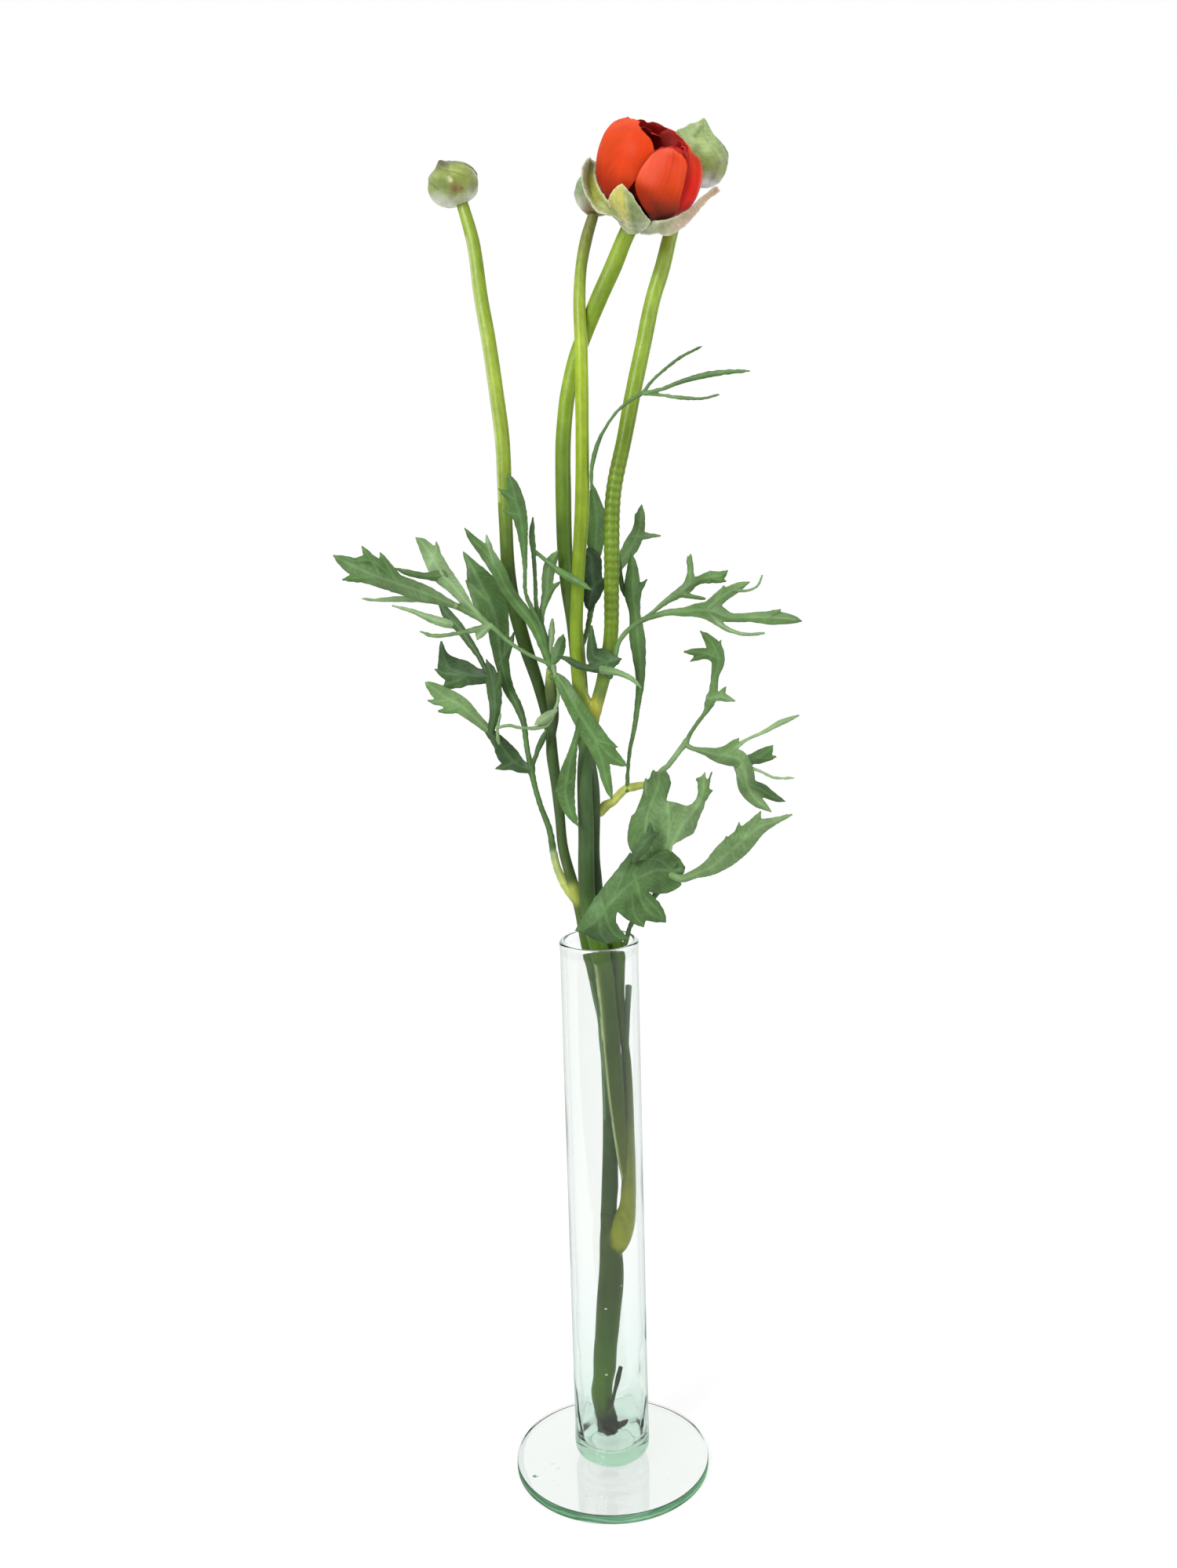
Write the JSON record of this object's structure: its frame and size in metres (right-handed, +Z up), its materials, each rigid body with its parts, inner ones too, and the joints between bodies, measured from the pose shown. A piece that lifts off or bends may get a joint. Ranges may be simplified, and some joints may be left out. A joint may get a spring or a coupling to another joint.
{
  "type": "ranunculus flower in a vase",
  "caption": "Cut ranunculus stem with a half-open red bloom, closed green buds and divided leaves, standing in a slim pale green glass tube vase on a round foot.",
  "frame": {"origin": "middle of the vase foot's flat underside, on the surface that the vase stands on", "axes": "+Z up along the vase's tube, -Y towards the front of the flower"},
  "size_m": [0.1644, 0.0875, 0.5194],
  "materials": {
    "vase_glass": "clear blown glass with a pale green tint, deeper green at the thick base and the foot's edge",
    "water": "clear still water",
    "stem_green": "smooth living stem, yellow-green above and darker green below, with fine lengthwise grain",
    "leaf_green": "soft matt leaf with fine pale veins and a paler underside",
    "petal_red": "satin orange-red petals, darker towards the base and inside",
    "sepal_green": "soft hairy pale green sepals with yellow and dry tan edges",
    "bud_green": "soft hairy grey-green bud with brown touches"
  },
  "bodies": {
    "root": {"vase": "vase_glass", "water": "water", "main_stem": "stem_green", "upper_left_leaf": "leaf_green", "lower_left_leaf": "leaf_green", "front_leaf": "leaf_green", "fork_leaf": "leaf_green", "right_leaf": "leaf_green", "middle_right_leaf": "leaf_green", "rim_leaf": "leaf_green", "thin_leaf": "leaf_green", "back_leaf": "leaf_green", "bloom_petals": "petal_red", "bloom_sepals": "sepal_green", "left_bud": "bud_green", "back_left_bud": "bud_green", "back_right_bud": "bud_green"}
  },
  "joints": []
}
